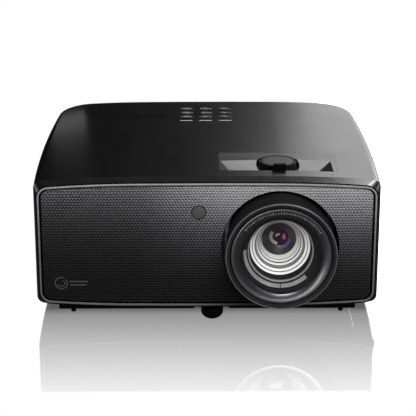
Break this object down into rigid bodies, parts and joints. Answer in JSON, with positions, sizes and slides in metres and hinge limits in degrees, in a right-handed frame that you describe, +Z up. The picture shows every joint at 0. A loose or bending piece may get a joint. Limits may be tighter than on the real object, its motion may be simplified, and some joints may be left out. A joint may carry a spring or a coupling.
{
  "type": "home projector",
  "caption": "Black home projector: bowed casing, dimpled front panel, large hooded lens with a focus ring, roof dial and zoom lever, oval keys, screw feet.",
  "frame": {"origin": "on the table, under the middle of the whole projector with its focus ring", "axes": "+Z up, the lens looks along -Y, +X to the right of somebody facing the lens"},
  "size_m": [0.3166, 0.2954, 0.145],
  "materials": {
    "cover_black": "satin moulded plastic",
    "bezel_black": "smooth satin plastic",
    "trim_line": "satin metallic paint",
    "panel_black": "satin, lattice of fine dimples",
    "window_grey": "smoked, clear to infrared",
    "insert_dark": "satin moulded plastic",
    "grille_black": "matte moulded plastic",
    "ring_black": "satin, ribbed grip",
    "barrel_black": "black anodised",
    "lens_glass": "coated, clear",
    "stop_glass": "coated, dark",
    "baffle_silver": "turned, bright",
    "key_black": "satin, printed sign",
    "lamp_white": "milky, clear",
    "dial_black": "satin, knurled edge",
    "socket_black": "matte",
    "socket_steel": "plated",
    "sound_blue": "matte",
    "board_green": "lacquered board",
    "engine_metal": "cast",
    "heat_sink": "extruded",
    "chip_ceramic": "ceramic",
    "wheel_disc": "coated disc",
    "steel": "ground",
    "laser_block": "machined",
    "fan_black": "matte",
    "foot_rubber": "matte",
    "brass": "turned",
    "screw_black": "blackened"
  },
  "bodies": {
    "chassis": {"top_cover": "cover_black", "bottom_case": "cover_black", "front_bezel": "bezel_black", "trim_ring": "trim_line", "front_panel": "panel_black", "receiver_window": "window_grey", "roof_insert": "insert_dark", "side_grille_left": "grille_black", "side_grille_right": "grille_black", "rear_panel": "grille_black", "data_sockets": "socket_steel", "network_socket": "socket_black", "serial_socket": "socket_steel", "sound_sockets": "sound_blue", "power_inlet": "socket_black", "indicator_windows": "lamp_white", "key_board": "board_green", "main_board": "board_green", "power_board": "board_green", "speaker": "fan_black", "carriage_guides": "steel", "light_engine": "engine_metal", "image_chip": "chip_ceramic", "chip_heat_sink": "heat_sink", "light_rod": "steel", "wheel_motor": "steel", "laser_bank": "laser_block", "laser_heat_sink": "heat_sink", "fan_frame_left": "fan_black", "fan_frame_right": "fan_black", "foot_bushes": "brass", "corner_pegs": "foot_rubber", "mount_bushes": "brass", "case_screws": "screw_black"},
    "lens": {"lens_carriage": "engine_metal", "lens_barrel": "barrel_black", "front_ring": "ring_black", "front_glass": "lens_glass", "baffle_rings": "baffle_silver", "stop_glass": "stop_glass", "rear_glass": "lens_glass"},
    "focus": {"focus_ring": "ring_black"},
    "zoom": {"zoom_ring": "ring_black"},
    "zoom_group": {"zoom_cell": "barrel_black"},
    "dial": {"shift_dial": "dial_black"},
    "wheel": {"phosphor_wheel": "wheel_disc"},
    "fan_left": {"fan_rotor_left": "fan_black"},
    "fan_right": {"fan_rotor_right": "fan_black"},
    "foot_f": {"front_foot": "foot_rubber"},
    "foot_rl": {"rear_left_foot": "foot_rubber"},
    "foot_rr": {"rear_right_foot": "foot_rubber"},
    "button_1": {"key_1": "key_black"},
    "button_2": {"key_2": "key_black"},
    "button_3": {"key_3": "key_black"},
    "button_4": {"key_4": "key_black"},
    "button_5": {"key_5": "key_black"},
    "button_6": {"key_6": "key_black"},
    "button_7": {"key_7": "key_black"},
    "button_8": {"key_8": "key_black"},
    "button_9": {"key_9": "key_black"}
  },
  "joints": [
    {"name": "lens_shift", "type": "slide", "parent": "chassis", "child": "lens", "axis": [0, 0, 1], "range_m": [-0.0032, 0.0032]},
    {"name": "dial_turn", "type": "hinge", "parent": "chassis", "child": "dial", "pos_m": [0.0655, -0.0718, 0.137], "axis": [0, 0, 1], "range_deg": [-150, 150]},
    {"name": "focus_turn", "type": "hinge", "parent": "lens", "child": "focus", "pos_m": [0.066, -0.1223, 0.0749], "axis": [0, 1, 0], "range_deg": [-60, 60]},
    {"name": "zoom_turn", "type": "hinge", "parent": "lens", "child": "zoom", "pos_m": [0.066, -0.0943, 0.0749], "axis": [0, 1, 0], "range_deg": [-9.2, 9.2]},
    {"name": "zoom_slide", "type": "slide", "parent": "lens", "child": "zoom_group", "axis": [0, 1, 0], "range_m": [-0.004, 0.004]},
    {"name": "wheel_spin", "type": "hinge", "parent": "chassis", "child": "wheel", "pos_m": [0.04, 0.0487, 0.1], "axis": [0, 1, 0], "continuous": true},
    {"name": "fan_left_spin", "type": "hinge", "parent": "chassis", "child": "fan_left", "pos_m": [-0.135, 0.0077, 0.083], "axis": [1, 0, 0], "continuous": true},
    {"name": "fan_right_spin", "type": "hinge", "parent": "chassis", "child": "fan_right", "pos_m": [0.135, 0.0077, 0.083], "axis": [1, 0, 0], "continuous": true},
    {"name": "foot_f_height", "type": "slide", "parent": "chassis", "child": "foot_f", "axis": [0, 0, 1], "range_m": [-0.01, 0.0008]},
    {"name": "foot_rl_height", "type": "slide", "parent": "chassis", "child": "foot_rl", "axis": [0, 0, 1], "range_m": [-0.01, 0.0008]},
    {"name": "foot_rr_height", "type": "slide", "parent": "chassis", "child": "foot_rr", "axis": [0, 0, 1], "range_m": [-0.01, 0.0008]},
    {"name": "button_1_press", "type": "slide", "parent": "chassis", "child": "button_1", "axis": [0, 0, 1], "range_m": [-0.0008, 0], "stiffness_N_per_m": 900, "springref_m": 0.0004},
    {"name": "button_2_press", "type": "slide", "parent": "chassis", "child": "button_2", "axis": [0, 0, 1], "range_m": [-0.0008, 0], "stiffness_N_per_m": 900, "springref_m": 0.0004},
    {"name": "button_3_press", "type": "slide", "parent": "chassis", "child": "button_3", "axis": [0, 0, 1], "range_m": [-0.0008, 0], "stiffness_N_per_m": 900, "springref_m": 0.0004},
    {"name": "button_4_press", "type": "slide", "parent": "chassis", "child": "button_4", "axis": [0, 0, 1], "range_m": [-0.0008, 0], "stiffness_N_per_m": 900, "springref_m": 0.0004},
    {"name": "button_5_press", "type": "slide", "parent": "chassis", "child": "button_5", "axis": [0, 0, 1], "range_m": [-0.0008, 0], "stiffness_N_per_m": 900, "springref_m": 0.0004},
    {"name": "button_6_press", "type": "slide", "parent": "chassis", "child": "button_6", "axis": [0, 0, 1], "range_m": [-0.0008, 0], "stiffness_N_per_m": 900, "springref_m": 0.0004},
    {"name": "button_7_press", "type": "slide", "parent": "chassis", "child": "button_7", "axis": [0, 0, 1], "range_m": [-0.0008, 0], "stiffness_N_per_m": 900, "springref_m": 0.0004},
    {"name": "button_8_press", "type": "slide", "parent": "chassis", "child": "button_8", "axis": [0, 0, 1], "range_m": [-0.0008, 0], "stiffness_N_per_m": 900, "springref_m": 0.0004},
    {"name": "button_9_press", "type": "slide", "parent": "chassis", "child": "button_9", "axis": [0, 0, 1], "range_m": [-0.0008, 0], "stiffness_N_per_m": 900, "springref_m": 0.0004}
  ],
  "couplings": [
    {"joint": "dial_turn", "follows": "lens_shift", "rad_per_m": 800},
    {"joint": "zoom_turn", "follows": "zoom_slide", "rad_per_m": 40}
  ]
}
